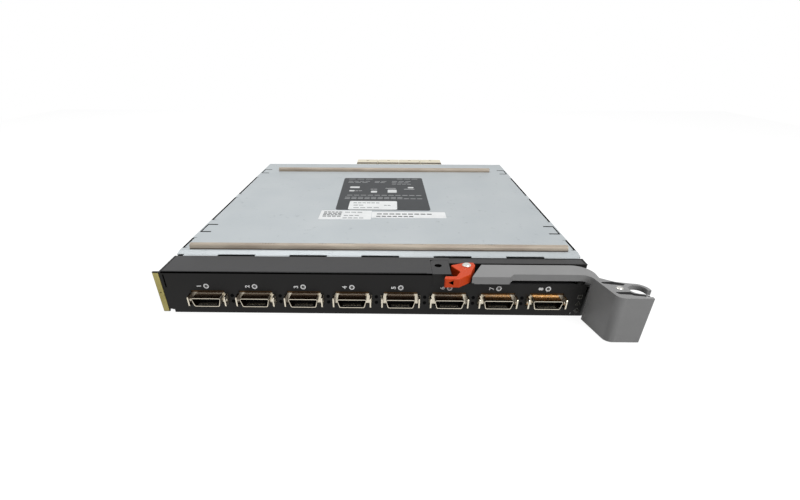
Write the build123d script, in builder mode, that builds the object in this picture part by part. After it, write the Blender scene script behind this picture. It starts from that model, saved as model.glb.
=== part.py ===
"""A blade switch module for a server enclosure, lying on its wide side.

A shallow galvanised steel box carries the switch board. Its black nose holds a row of eight
cable ports, and a cast ejector lever with a red latch lies in the nose's right-hand corner.
Four sockets at the rear plug into the enclosure's midplane.

The origin is the centre of the chassis floor, +X runs along the ports to the lever's end, +Y runs
to the rear and +Z is up. Depths are measured from the front of the faceplate towards the rear.
"""

import os
from math import atan2, cos, degrees, dist, radians, sin

from build123d import *

# Chassis
body_width = 268.0
body_depth = 281.0
body_height = 30.0
sheet = 1.0
bend_radius = 1.6
lap_gap = 0.1
rear_relief = 1.6

# Nose, the black front housing
nose_depth = 24.0
nose_sheet = 1.2
nose_drop = 1.0
nose_overhang = 0.4
nose_lap = 5.5
nose_corner_radius = 4.0
nose_edge_radius = 1.0
corner_notch_width = 3.4
corner_notch_height = 2.4
end_flange_reach = 3.95
end_flange_top = 28.9
end_flange_bottom = 0.6
end_slot_x = -132.1
end_slot_width = 0.9
end_slot_bottom = 18.0
end_slot_top = 27.2

# Top cover
ramp_end = 26.0
ramp_start = 31.0
notch_width = 25.0
notch_pitch = 47.8
notch_row_offset = 1.8
notch_depth = 2.6
notch_count = 7
flange_drop = 7.0
flange_spans = ((35.0, 53.5), (90.0, 150.0), (160.0, 221.0))
spring_tab_depths = (72.5, 246.0)
spring_tab_width = 15.0
spring_tab_length = 8.0
slit = 1.0
flange_relief_width = 0.8
flange_relief_length = 2.2

# Gaskets
gasket_height = 3.45
gasket_width = 5.0
gasket_crown = 2.2
front_gasket_length = 255.4
front_gasket_depth = 35.5
rear_gasket_length = 231.0
rear_gasket_inset = 32.3
end_gasket_width = 3.5
end_gasket_length = 27.0
end_gasket_thickness = 0.7
end_gasket_hole = 0.6

# Ports
port_count = 8
port_pitch = 30.5
port_height = 10.3
port_reach = 5.0
shroud_top = 18.8
shroud_bottom = 15.8
shroud_height = 6.0
shroud_wall = 0.5
shroud_corner = 1.2
finger_strip_width = 20.6
finger_strip_bottom = 14.8
finger_strip_top = 16.0
finger_strip_depth = 0.3
ear_spacing = 23.2
ear_thickness = 0.9
ear_height = 6.6
ear_reach = 4.4
ear_window_length = 1.6
ear_window_height = 2.0
ear_window_reach = 2.3
port_opening_gap = 0.3
port_box_width = 26.4
port_box_depth = 15.0
socket_depth = 6.0
tongue_reach = 4.0
tongue_thickness = 0.4
contact_count = 12
contact_pitch = 0.95
contact_width = 0.5
contact_thickness = 0.15
contact_length = 2.0
contact_setback = 0.2

# Lights on the faceplate
port_light_height = 19.3
port_light_radius = 1.0
light_gap = 0.1
light_pipe_width = 1.6
status_light_x = 127.6
status_light_heights = (3.9, 9.0, 13.9)
status_light_radius = 1.2
status_guide_width = 4.0
status_guide_length = 2.6
status_board_width = 9.0
status_board_depth = 4.2

# Main board and what stands on it
board_thickness = 1.6
board_height = 5.2
board_margin = 4.0
board_front = 6.0
board_corner_cut = 6.0
insulator_thickness = 0.3
insulator_margin = 6.0
standoff_radius = 3.2
standoff_pitch = 112.0
standoff_front_gap = 24.0
standoff_rear_gap = 16.0
board_screw_radius = 2.8
board_screw_head = 1.8
chip_size = 40.0
chip_height = 2.6
chip_x = -30.0
pad_thickness = 0.4
heat_sink_width = 46.0
heat_sink_length = 74.0
heat_sink_base = 3.0
heat_sink_gap = 2.2
fin_count = 13
fin_thickness = 1.0
heat_sink_screw_margin = 4.5
processor_size = 27.0
processor_height = 2.2
processor_x = 58.0
memory_count = 4
memory_pitch = 13.0
memory_width = 8.0
memory_length = 12.0
memory_height = 1.2
memory_gap = 9.0
power_module_count = 3
power_module_pitch = 29.0
power_module_width = 22.0
power_module_length = 30.0
power_module_height = 9.0
capacitor_length = 7.3
capacitor_width = 4.3
capacitor_height = 4.0
capacitor_count = 6
capacitor_pitch = 13.0
capacitor_gap = 8.0
inductor_size = 11.0
inductor_height = 6.5
inductor_count = 4
inductor_pitch = 17.0
power_row_x = -58.0

# Rear sockets
socket_count = 4
socket_pitch = 25.0
socket_gap = 0.4
socket_row_x = 17.0
socket_head_gap = 4.0
socket_reach = 26.2
socket_head_top = 29.8
socket_neck_inside = 19.0
socket_neck_top = 27.6
socket_slot_columns = 5
socket_slot_rows = 3
socket_slot_pitch = 4.3
socket_slot_width = 2.2
socket_slot_height = 3.2
socket_row_pitch = 6.0
socket_slot_depth = 4.0
rear_opening_margin = 1.5
tongue_setback = 6.2

# Guide sockets beside the rear sockets
guide_x = 112.0
guide_height = 15.0
guide_bore = 3.2
guide_nose = 12.0
guide_nose_reach = 3.0
guide_block = 16.0
guide_length = 18.0
guide_lead = 1.5

# Vents in the side walls
vent_count = 16
vent_pitch = 12.0
vent_width = 4.0
vent_height = 13.0
vent_centre_height = 14.0
vent_centre_depth = 155.0

# Lever bracket and its recess
bracket_start = 34.4
bracket_bottom = 21.2
bracket_floor = 1.4
eye_plate_width = 11.6
eye_plate_depth = 20.0
eye_plate_skin = 1.8
eye_plate_corner = 2.5
eye_radius = 2.3
eye_x = 38.9
eye_depth = 12.0
eye_ring = 1.4
recess_depth = 16.4
bracket_wall = 0.8
bracket_lip = 4.0
bracket_lip_inset = 8.0
boss_radius = 4.6

# Ejector lever
lever_top = 29.8
arm_height = 4.2
arm_skin = 1.8
arm_wall = 1.6
pivot_x = 125.6
pivot_depth = 4.6
elbow_reach = 7.5
elbow_radius = 12.0
elbow_side = 133.4
arm_front = -1.2
arm_end = 57.9
arm_slant = 8.2
pad_front = -5.0
pad_end = 80.7
pad_slope = 2.8
pad_height = 4.8
crook_radius = 6.0
crook_end_depth = -9.1
block_start = -4.6
block_front = -29.4
block_left = 129.6
block_left_front = 134.9
block_right = 153.8
block_wall = 2.0
block_corner = 5.0
block_foot_gap = 0.4
jaw_thickness = 3.0
rail_depth = -4.8
rail_bend_x = 140.4
rail_bend_depth = -9.6
claw_x = 149.6
claw_depth = -18.8
claw_bore = 5.1
claw_radius = 7.1
claw_mouth_angle = -11.0
groove_width = 2.2
rear_groove = ((133.4, -10.9), (143.0, -13.0))
front_groove = ((138.0, -23.4), (143.6, -23.9))
groove_depth = 2.0
rib_count = 2
rib_pitch = 18.0
lever_screw_x = 139.8
lever_screw_depth = -17.6
lever_screw_post = 3.4
lever_screw_radius = 1.9
lever_screw_shank = 1.2
lever_screw_head = 0.5
pin_radius = 2.5
pin_head_radius = 3.2
pin_head_height = 1.0
pin_cap = 1.2
running_gap = 0.05

# Latch
latch_x = 56.6
latch_depth = 10.4
latch_bottom = 24.2
latch_height = 5.7
latch_corner = 0.8
latch_outline = (
    (46.6, 10.8),
    (56.2, 15.0),
    (61.6, 15.0),
    (62.2, 11.3),
    (59.3, 4.1),
    (57.4, -1.6),
    (50.0, -8.0),
    (40.8, -8.0),
    (41.9, -4.3),
    (48.4, -4.3),
    (51.6, 1.9),
)
rivet_radius = 1.5
rivet_head_radius = 2.8
rivet_head_height = 0.9
arrow_x = 45.2
arrow_size = 2.4
arrow_recess = 0.4
spring_radius = 2.6
spring_wire = 0.25
spring_pitch = 1.0
spring_height = 1.5
spring_room = 0.4

# Small screws on the faceplate and sides
port_screw_radius = 1.15
port_screw_head = 0.3
port_screw_heights = (8.6, 12.7)
cover_screw_radius = 1.9
cover_screw_shank = 1.1
cover_screw_height = 25.2

# What follows from the sizes above
front_y = -body_depth / 2
back_y = body_depth / 2
half_width = body_width / 2
cover_bottom = body_height - sheet
wall_top = cover_bottom - lap_gap
nose_top = body_height - nose_drop
flange_outer = half_width - sheet - lap_gap
nose_half = half_width + nose_overhang
rear_gasket_depth = body_depth - rear_gasket_inset
socket_head_front = body_depth + socket_head_gap
socket_head_rear = body_depth + socket_reach
socket_neck_front = body_depth - socket_neck_inside
board_tongue_end = socket_head_rear - tongue_setback
guide_front = body_depth - sheet - guide_length
board_top = board_height + board_thickness
port_first = -(port_count - 1) / 2 * port_pitch
port_centres = [port_first + port_pitch * index for index in range(port_count)]
port_box_height = port_light_height - light_pipe_width / 2 - light_gap - board_top
port_box_front = nose_sheet + lap_gap
port_box_rear = port_box_front + port_box_depth
tongue_bottom = port_height - shroud_height / 2 + shroud_wall + lap_gap
port_opening_width = ear_spacing + ear_thickness + 2 * port_opening_gap
port_opening_height = ear_height + 2 * port_opening_gap
finger_opening_width = finger_strip_width + 2 * port_opening_gap
finger_opening_top = finger_strip_top + port_opening_gap
recess_floor = bracket_bottom + bracket_floor
eye_plate_end = bracket_start + eye_plate_width
half_board = half_width - sheet - board_margin
chip_top = board_top + chip_height
sink_bottom = chip_top + pad_thickness
sink_top = cover_bottom - heat_sink_gap
socket_row_width = socket_count * socket_pitch
socket_row_left = socket_row_x - socket_row_width / 2
arm_bottom = lever_top - arm_height
jaw_top_level = lever_top - jaw_thickness
latch_top = latch_bottom + latch_height


def at_depth(depth):
    """The Y of a point that lies this far behind the front of the faceplate."""
    return front_y + depth


def across(depth):
    """A plane across the module at a depth; what is extruded from it runs towards the front."""
    return Plane.XZ.offset(-at_depth(depth))


def block(left, right, front, rear, bottom, top, mode=Mode.ADD):
    """A box between six planes, where front and rear are depths."""
    with Locations(((left + right) / 2, at_depth((front + rear) / 2), (bottom + top) / 2)):
        Box(right - left, rear - front, top - bottom, mode=mode)


def rod(x, depth, radius, bottom, top, mode=Mode.ADD):
    """An upright round bar, or the bore for one."""
    with Locations((x, at_depth(depth), (bottom + top) / 2)):
        Cylinder(radius, top - bottom, mode=mode)


def hexagon(x, depth, radius, bottom, top):
    """An upright hexagonal post or screw head."""
    with BuildSketch(Plane.XY.offset(bottom)) as section:
        with Locations((x, at_depth(depth))):
            RegularPolygon(radius, side_count=6)
    extrude(section.sketch, amount=top - bottom)


def plan(*points):
    """Plan points for a polyline, from pairs of X and depth."""
    return [(x, at_depth(depth)) for x, depth in points]


def save(piece, name):
    """Labels a finished piece and writes its file."""
    piece.part.label = name
    export_step(piece.part, f"parts/{name}.step")


os.makedirs("parts", exist_ok=True)

# The standoffs stand in rows between the ports and the guide sockets, and the chips between the rows
standoff_first = port_box_rear + light_gap + 2 * light_pipe_width + standoff_front_gap
standoff_last = guide_front - standoff_rear_gap
standoff_rows = (standoff_first, (standoff_first + standoff_last) / 2, standoff_last)
standoff_places = [
    (column * standoff_pitch, row)
    for column in (-1, 0, 1)
    for row in standoff_rows
    if (column, row) != (0, standoff_last)
]
chip_depth = (standoff_rows[0] + standoff_rows[1]) / 2
power_depth = (standoff_rows[1] + standoff_rows[2]) / 2
sink_screw_places = [
    (chip_x + side * (heat_sink_width / 2 - heat_sink_screw_margin),
     chip_depth + end * (heat_sink_length / 2 - heat_sink_screw_margin))
    for side in (-1, 1)
    for end in (-1, 1)
]


# Base tray
with BuildPart() as base_tray:
    with BuildSketch(across(body_depth)) as tray_section:
        with Locations((0, wall_top / 2)):
            Rectangle(body_width, wall_top)
        fillet(tray_section.vertices().group_by(Axis.Y)[0], bend_radius)
    extrude(amount=body_depth - nose_depth - lap_gap)
    with BuildSketch(across(body_depth - sheet)) as tray_inside:
        with Locations((0, sheet + wall_top / 2)):
            Rectangle(body_width - 2 * sheet, wall_top)
        fillet(tray_inside.vertices().group_by(Axis.Y)[0], bend_radius - sheet)
    extrude(amount=body_depth, mode=Mode.SUBTRACT)
    # Reliefs in the folds beside the rear wall
    for side in (-1, 1):
        relief = side * (half_width - sheet - rear_relief / 2)
        block(
            relief - rear_relief / 2, relief + rear_relief / 2,
            body_depth - 2 * sheet, body_depth + sheet,
            sheet + rear_relief, body_height, Mode.SUBTRACT,
        )
    # The walls stay below the cover's front ramp
    block(
        -body_width, body_width, nose_depth, ramp_start + sheet,
        wall_top - nose_drop, body_height, Mode.SUBTRACT,
    )
    # Opening in the rear wall for the sockets
    block(
        socket_row_left - rear_opening_margin,
        socket_row_left + socket_row_width + rear_opening_margin,
        body_depth - 2 * sheet, body_depth + sheet,
        board_height - rear_opening_margin, body_height, Mode.SUBTRACT,
    )
    # Holes in the rear wall for the guide sockets
    with BuildSketch(across(body_depth + sheet)):
        with Locations((-guide_x, guide_height), (guide_x, guide_height)):
            Rectangle(guide_nose + 2 * lap_gap, guide_nose + 2 * lap_gap)
    extrude(amount=3 * sheet, mode=Mode.SUBTRACT)
    # Vents along both side walls
    with BuildSketch(Plane.YZ.offset(-body_width)):
        with Locations((at_depth(vent_centre_depth), vent_centre_height)):
            with GridLocations(vent_pitch, 0, vent_count, 1):
                Rectangle(vent_width, vent_height)
    extrude(amount=2 * body_width, mode=Mode.SUBTRACT)
    # Countersunk holes for the cover screws
    for first, last in flange_spans:
        for side in (-1, 1):
            wall = Plane(
                origin=(side * half_width, at_depth((first + last) / 2), cover_screw_height),
                z_dir=(side, 0, 0),
            )
            with Locations(wall):
                CounterSinkHole(cover_screw_shank + lap_gap, cover_screw_radius + lap_gap, 2 * sheet)
save(base_tray, "base_tray")


# Top cover
with BuildPart() as top_cover:
    with BuildSketch(Plane.YZ.offset(-half_width)):
        with BuildLine():
            Polyline(
                (at_depth(nose_depth + lap_gap), nose_top),
                (at_depth(ramp_end), nose_top),
                (at_depth(ramp_start), body_height),
                (back_y, body_height),
                (back_y, cover_bottom),
                (at_depth(ramp_start), cover_bottom),
                (at_depth(ramp_end), nose_top - sheet),
                (at_depth(nose_depth + lap_gap), nose_top - sheet),
                close=True,
            )
        make_face()
    extrude(amount=body_width)
    # Flanges that hook down inside the tray's walls
    for first, last in flange_spans:
        for side in (-1, 1):
            edges = sorted((side * flange_outer, side * (half_width + sheet)))
            block(*edges, first, last, wall_top - sheet, body_height + sheet, Mode.SUBTRACT)
            edges = sorted((side * flange_outer, side * (flange_outer - sheet)))
            block(*edges, first + sheet, last - sheet, cover_bottom - flange_drop, body_height)
            # Reliefs in the sheet at both ends of the fold
            edges = sorted((side * (flange_outer - flange_relief_length), side * body_width))
            for end in (first + flange_relief_width / 2, last - flange_relief_width / 2):
                block(
                    *edges, end - flange_relief_width / 2, end + flange_relief_width / 2,
                    0, body_height + sheet, Mode.SUBTRACT,
                )
    # Notches along the front edge, with half ones at both ends
    with BuildSketch(Plane.XY):
        with Locations((notch_row_offset, at_depth(nose_depth + notch_depth / 2))):
            with GridLocations(notch_pitch, 0, notch_count, 1):
                Rectangle(notch_width, notch_depth)
    extrude(amount=body_height + sheet, mode=Mode.SUBTRACT)
    # Spring tabs, each freed by a slit on three sides
    for depth in spring_tab_depths:
        for side in (-1, 1):
            ends = sorted((side * (half_width - 2 * slit), side * (half_width - spring_tab_length - slit)))
            for slit_depth in (depth - spring_tab_width / 2, depth + spring_tab_width / 2):
                block(
                    *ends, slit_depth - slit / 2, slit_depth + slit / 2,
                    0, body_height + sheet, Mode.SUBTRACT,
                )
            ends = sorted((side * (half_width - slit), side * (half_width - 2 * slit)))
            half_tab = (spring_tab_width + slit) / 2
            block(*ends, depth - half_tab, depth + half_tab, 0, body_height + sheet, Mode.SUBTRACT)
    flange_bends = (
        top_cover.edges()
        .filter_by(Axis.Y)
        .filter_by_position(Axis.Z, body_height, body_height)
        .filter_by(lambda edge: abs(abs(edge.center().X) - flange_outer) < lap_gap / 2)
    )
    fillet(flange_bends, sheet * 0.9)
save(top_cover, "top_cover")


# Front housing
with BuildPart() as front_housing:
    block(-nose_half, nose_half, 0, nose_depth, 0, nose_top)
    right_corner = front_housing.edges().filter_by(Axis.Z).group_by(Axis.Y)[0].sort_by(Axis.X)[-1]
    fillet(right_corner, nose_corner_radius)
    fillet(front_housing.edges().group_by(Axis.Z)[-1].group_by(Axis.Y)[0], nose_edge_radius)
    # Collar that laps inside the tray and the cover
    collar = half_width - sheet - lap_gap
    block(
        -collar, collar, nose_depth - nose_sheet, nose_depth + nose_lap,
        sheet + lap_gap, nose_top - sheet - lap_gap,
    )
    collar_folds = front_housing.edges().filter_by(Axis.Y).filter_by_position(
        Axis.Z, sheet + lap_gap / 2, sheet + 2 * lap_gap
    )
    fillet(collar_folds, bend_radius - sheet)
    block(
        -nose_half + nose_sheet, nose_half - nose_sheet, nose_sheet, nose_depth - nose_sheet,
        nose_sheet, nose_top - nose_sheet, Mode.SUBTRACT,
    )
    block(
        -collar + nose_sheet, collar - nose_sheet,
        nose_depth - 2 * nose_sheet, nose_depth + 2 * nose_lap,
        sheet + lap_gap + nose_sheet, nose_top - sheet - lap_gap - nose_sheet, Mode.SUBTRACT,
    )
    # End flange on the left for the enclosure's gasket
    block(
        -nose_half - end_flange_reach, -nose_half + nose_sheet, 0, nose_sheet,
        end_flange_bottom, end_flange_top,
    )
    block(
        end_slot_x - end_slot_width / 2, end_slot_x + end_slot_width / 2, -nose_sheet, 2 * nose_sheet,
        end_slot_bottom, end_slot_top, Mode.SUBTRACT,
    )
    block(
        -nose_half, -nose_half + corner_notch_width, -nose_sheet, corner_notch_width,
        -nose_sheet, corner_notch_height, Mode.SUBTRACT,
    )
    # Port openings and the holes for the lights
    with BuildSketch(across(2 * nose_sheet)):
        for centre in port_centres:
            with Locations((centre, port_height)):
                Rectangle(port_opening_width, port_opening_height)
            with Locations((centre, (port_height + finger_opening_top) / 2)):
                Rectangle(finger_opening_width, finger_opening_top - port_height)
            with Locations((centre, port_light_height)):
                Circle(port_light_radius + light_gap)
        for height in status_light_heights:
            with Locations((status_light_x, height)):
                Circle(status_light_radius + light_gap)
    extrude(amount=3 * nose_sheet, mode=Mode.SUBTRACT)
    # Cut-out for the lever bracket
    block(bracket_start, body_width, -nose_depth, recess_depth, bracket_bottom, body_height, Mode.SUBTRACT)
    block(
        bracket_start, eye_plate_end + lap_gap, -nose_depth, eye_plate_depth,
        bracket_bottom, body_height, Mode.SUBTRACT,
    )
save(front_housing, "front_housing")


# Lever bracket
with BuildPart() as lever_bracket:
    block(
        bracket_start + lap_gap, nose_half, 0, recess_depth - lap_gap, bracket_bottom, nose_top,
    )
    block(
        bracket_start + lap_gap, eye_plate_end, 0, eye_plate_depth - lap_gap, bracket_bottom, nose_top,
    )
    uprights = lever_bracket.edges().filter_by(Axis.Z)
    fillet(uprights.group_by(Axis.Y)[0].sort_by(Axis.X)[-1], nose_corner_radius)
    fillet(lever_bracket.edges().filter_by(Axis.Z).group_by(Axis.X)[0].sort_by(Axis.Y)[-1], eye_plate_corner)
    # Recess for the lever and the latch
    block(
        eye_plate_end, body_width, -nose_depth, recess_depth - lap_gap - bracket_wall,
        recess_floor, body_height, Mode.SUBTRACT,
    )
    # Eye plate, cored from below around the eye's ring
    block(
        bracket_start + lap_gap + bracket_wall, eye_plate_end - bracket_wall,
        bracket_wall, eye_plate_depth - lap_gap - bracket_wall,
        bracket_bottom - bracket_floor, nose_top - eye_plate_skin, Mode.SUBTRACT,
    )
    rod(eye_x, eye_depth, eye_radius + eye_ring, bracket_bottom, nose_top)
    rod(eye_x, eye_depth, eye_radius, 0, body_height, Mode.SUBTRACT)
    # Lip under the nose's top plate
    block(
        eye_plate_end + bracket_lip_inset, nose_half - bracket_lip_inset,
        recess_depth - lap_gap - bracket_wall, recess_depth + bracket_lip,
        nose_top - nose_sheet - bracket_floor, nose_top - nose_sheet,
    )
    # Bearing boss for the pivot pin and the rivet's hole
    rod(pivot_x, pivot_depth, boss_radius, bracket_bottom, arm_bottom - lap_gap)
    rod(pivot_x, pivot_depth, pin_radius + running_gap, 0, body_height, Mode.SUBTRACT)
    rod(latch_x, latch_depth, rivet_radius, 0, body_height, Mode.SUBTRACT)
save(lever_bracket, "lever_bracket")


# Gaskets on the cover
for name, length, depth in (
    ("front_gasket", front_gasket_length, front_gasket_depth),
    ("rear_gasket", rear_gasket_length, rear_gasket_depth),
):
    with BuildPart() as gasket:
        block(
            -length / 2, length / 2, depth - gasket_width / 2, depth + gasket_width / 2,
            body_height, body_height + gasket_height,
        )
        fillet(gasket.edges().filter_by(Axis.X).group_by(Axis.Z)[-1], gasket_crown)
    save(gasket, name)

# Gasket strip on the end flange
with BuildPart() as end_gasket:
    strip_x = -nose_half - end_flange_reach / 2
    strip_z = (end_flange_top + end_flange_bottom) / 2
    block(
        strip_x - end_gasket_width / 2, strip_x + end_gasket_width / 2, -end_gasket_thickness, 0,
        strip_z - end_gasket_length / 2, strip_z + end_gasket_length / 2,
    )
    fillet(end_gasket.edges().filter_by(Axis.Z).group_by(Axis.Y)[0], end_gasket_thickness * 0.8)
    with Locations((strip_x, at_depth(0), strip_z)):
        Cylinder(end_gasket_hole, 2 * nose_sheet, rotation=(90, 0, 0), mode=Mode.SUBTRACT)
save(end_gasket, "end_gasket")


# Port shells, inserts and contacts
def shroud_section(centre, inset):
    """Corners of a port's D section, wider at the top, drawn in by an inset on every side."""
    upper = port_height + shroud_height / 2 - inset
    lower = port_height - shroud_height / 2 + inset
    return [
        (centre - shroud_top / 2 + inset, upper),
        (centre + shroud_top / 2 - inset, upper),
        (centre + shroud_bottom / 2 - inset, lower),
        (centre - shroud_bottom / 2 + inset, lower),
    ]


for number, centre in enumerate(port_centres, start=1):
    with BuildPart() as port_shell:
        block(
            centre - port_box_width / 2, centre + port_box_width / 2, port_box_front, port_box_rear,
            board_top, board_top + port_box_height,
        )
        # Strip of earthing fingers that lies in the top of the opening
        block(
            centre - finger_strip_width / 2, centre + finger_strip_width / 2,
            finger_strip_depth, port_box_front + shroud_wall, finger_strip_bottom, finger_strip_top,
        )
        with BuildSketch(across(port_box_front)) as shroud_outer:
            with BuildLine():
                Polyline(*shroud_section(centre, 0), close=True)
            make_face()
            fillet(shroud_outer.vertices(), shroud_corner)
        extrude(amount=port_box_front + port_reach)
        with BuildSketch(across(port_box_rear)) as shroud_inner:
            with BuildLine():
                Polyline(*shroud_section(centre, shroud_wall), close=True)
            make_face()
            fillet(shroud_inner.vertices(), shroud_corner - shroud_wall)
        extrude(amount=port_box_rear + 2 * port_reach, mode=Mode.SUBTRACT)
        # The box behind the faceplate is open at its back and underneath
        block(
            centre - port_box_width / 2 + shroud_wall, centre + port_box_width / 2 - shroud_wall,
            port_box_front + shroud_wall, port_box_rear + shroud_wall,
            board_top - shroud_wall, board_top + port_box_height - shroud_wall, Mode.SUBTRACT,
        )
        # Ears with their latch windows
        for side in (-1, 1):
            ear_x = centre + side * ear_spacing / 2
            block(
                ear_x - ear_thickness / 2, ear_x + ear_thickness / 2, -ear_reach, port_box_front + shroud_wall,
                port_height - ear_height / 2, port_height + ear_height / 2,
            )
            block(
                ear_x - ear_thickness, ear_x + ear_thickness,
                -ear_window_reach - ear_window_length / 2, -ear_window_reach + ear_window_length / 2,
                port_height - ear_window_height / 2, port_height + ear_window_height / 2, Mode.SUBTRACT,
            )
        ear_corners = port_shell.edges().filter_by(Axis.X).filter_by_position(
            Axis.Y, at_depth(-ear_reach) - lap_gap, at_depth(-ear_reach) + lap_gap
        )
        chamfer(ear_corners, shroud_wall)
    save(port_shell, f"port_shell_{number}")

    with BuildPart() as port_insert:
        block(
            centre - port_box_width / 2 + shroud_wall + lap_gap,
            centre + port_box_width / 2 - shroud_wall - lap_gap,
            port_box_front + shroud_wall, port_box_rear, board_top,
            board_top + port_box_height - shroud_wall - lap_gap,
        )
        with BuildSketch(across(port_box_front + shroud_wall)):
            with BuildLine():
                Polyline(*shroud_section(centre, shroud_wall + 3 * lap_gap), close=True)
            make_face()
        extrude(amount=port_reach - socket_depth + port_box_front + shroud_wall)
        # Tongue low in the shroud, which carries the contacts
        block(
            centre - shroud_bottom / 2 + shroud_wall + shroud_corner,
            centre + shroud_bottom / 2 - shroud_wall - shroud_corner,
            -tongue_reach, 0, tongue_bottom, tongue_bottom + tongue_thickness,
        )
    save(port_insert, f"port_insert_{number}")

with BuildPart() as port_contacts:
    for centre in port_centres:
        with Locations((
            centre,
            at_depth(-tongue_reach + contact_setback + contact_length / 2),
            tongue_bottom + tongue_thickness + contact_thickness / 2,
        )):
            with GridLocations(contact_pitch, 0, contact_count, 1):
                Box(contact_width, contact_length, contact_thickness)
save(port_contacts, "port_contacts")


# Screws between the ports
with BuildPart() as port_screws:
    with BuildSketch(across(0)):
        for centre in port_centres[:-1]:
            for height in port_screw_heights:
                with Locations((centre + port_pitch / 2, height)):
                    RegularPolygon(port_screw_radius, side_count=6)
    extrude(amount=port_screw_head)
save(port_screws, "port_screws")

# Screws that hold the cover's flanges to the tray
with BuildPart() as cover_screws:
    for first, last in flange_spans:
        for side in (-1, 1):
            wall = Plane(
                origin=(side * half_width, at_depth((first + last) / 2), cover_screw_height),
                z_dir=(-side, 0, 0),
            )
            with Locations(wall):
                Cone(
                    cover_screw_radius, cover_screw_shank, cover_screw_radius - cover_screw_shank,
                    align=(Align.CENTER, Align.CENTER, Align.MIN),
                )
save(cover_screws, "cover_screws")


# Light pipes from the board to the port lights
with BuildPart() as light_pipes:
    pipe_rear = port_box_rear + light_gap + light_pipe_width
    for x in port_centres:
        with Locations((x, at_depth(nose_sheet / 2), port_light_height)):
            Cylinder(port_light_radius, nose_sheet, rotation=(90, 0, 0))
        block(
            x - light_pipe_width / 2, x + light_pipe_width / 2, nose_sheet, pipe_rear,
            port_light_height - light_pipe_width / 2, port_light_height + light_pipe_width / 2,
        )
        block(
            x - light_pipe_width / 2, x + light_pipe_width / 2,
            pipe_rear - light_pipe_width, pipe_rear,
            board_top, port_light_height,
        )
save(light_pipes, "light_pipes")

# Status lights, their guide and the small board behind them
with BuildPart() as status_light_guide:
    for height in status_light_heights:
        with Locations((status_light_x, at_depth(nose_sheet / 2), height)):
            Cylinder(status_light_radius, nose_sheet, rotation=(90, 0, 0))
    block(
        status_light_x - status_guide_width / 2, status_light_x + status_guide_width / 2,
        nose_sheet, nose_sheet + status_guide_length,
        status_light_heights[0] - status_guide_width / 2, status_light_heights[-1] + status_guide_width / 2,
    )
save(status_light_guide, "status_light_guide")
with BuildPart() as status_board:
    block(
        status_light_x - status_board_width / 2, status_light_x + status_board_width / 2,
        nose_sheet + status_guide_length, nose_sheet + status_guide_length + board_thickness,
        nose_sheet, status_light_heights[-1] + status_guide_width,
    )
save(status_board, "status_board")


# Main board with its tongue under the rear sockets
with BuildPart() as main_board:
    block(-half_board, half_board, board_front, body_depth - sheet - board_margin, board_height, board_top)
    fillet(main_board.edges().filter_by(Axis.Z), sheet)
    block(
        socket_row_left, socket_row_left + socket_row_width,
        socket_neck_front, board_tongue_end, board_height, board_top,
    )
    # Front corner cut back behind the status lights
    block(
        half_board - board_corner_cut, body_width, -board_front, board_corner_cut,
        0, body_height, Mode.SUBTRACT,
    )
    # Rear corners cut out round the guide sockets
    for side in (-1, 1):
        block(
            *sorted((side * (guide_x - guide_block / 2 - sheet), side * body_width)),
            guide_front - sheet, 2 * body_depth, 0, body_height, Mode.SUBTRACT,
        )
save(main_board, "main_board")

with BuildPart() as board_standoffs:
    for x, depth in standoff_places:
        hexagon(x, depth, standoff_radius, sheet, board_height)
save(board_standoffs, "board_standoffs")

with BuildPart() as board_screws:
    for x, depth in standoff_places:
        hexagon(x, depth, board_screw_radius, board_top, board_top + board_screw_head)
save(board_screws, "board_screws")

with BuildPart() as insulator_sheet:
    block(
        -half_board + insulator_margin, half_board - insulator_margin,
        nose_depth + nose_lap + insulator_margin, body_depth - sheet - insulator_margin,
        sheet, sheet + insulator_thickness,
    )
    for x, depth in standoff_places:
        with Locations((x, at_depth(depth), 0)):
            Box(2 * standoff_radius + sheet, 2 * standoff_radius + sheet, body_height, mode=Mode.SUBTRACT)
    for side in (-1, 1):
        block(
            *sorted((side * (guide_x - guide_block / 2 - lap_gap), side * body_width)),
            guide_front - lap_gap, body_depth, 0, body_height, Mode.SUBTRACT,
        )
save(insulator_sheet, "insulator_sheet")


# Switch chip with its pad and heat sink
with BuildPart() as switch_chip:
    block(
        chip_x - chip_size / 2, chip_x + chip_size / 2, chip_depth - chip_size / 2, chip_depth + chip_size / 2,
        board_top, board_top + chip_height / 2,
    )
    block(
        chip_x - chip_size / 3, chip_x + chip_size / 3, chip_depth - chip_size / 3, chip_depth + chip_size / 3,
        board_top, chip_top,
    )
save(switch_chip, "switch_chip")
with BuildPart() as thermal_pad:
    block(
        chip_x - chip_size / 3, chip_x + chip_size / 3, chip_depth - chip_size / 3, chip_depth + chip_size / 3,
        chip_top, sink_bottom,
    )
save(thermal_pad, "thermal_pad")
with BuildPart() as heat_sink:
    block(
        chip_x - heat_sink_width / 2, chip_x + heat_sink_width / 2,
        chip_depth - heat_sink_length / 2, chip_depth + heat_sink_length / 2,
        sink_bottom, sink_bottom + heat_sink_base,
    )
    fin_pitch = (heat_sink_width - fin_thickness) / (fin_count - 1)
    with Locations((chip_x, at_depth(chip_depth), (sink_bottom + sink_top) / 2)):
        with GridLocations(fin_pitch, 0, fin_count, 1):
            Box(fin_thickness, heat_sink_length - 4 * heat_sink_screw_margin, sink_top - sink_bottom)
    # Posts down to the board under the screws
    for x, depth in sink_screw_places:
        hexagon(x, depth, board_screw_radius, board_top, sink_bottom)
save(heat_sink, "heat_sink")
with BuildPart() as heat_sink_screws:
    sink_screw_seat = sink_bottom + heat_sink_base
    for x, depth in sink_screw_places:
        hexagon(x, depth, board_screw_radius, sink_screw_seat, sink_screw_seat + board_screw_head)
save(heat_sink_screws, "heat_sink_screws")


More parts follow.
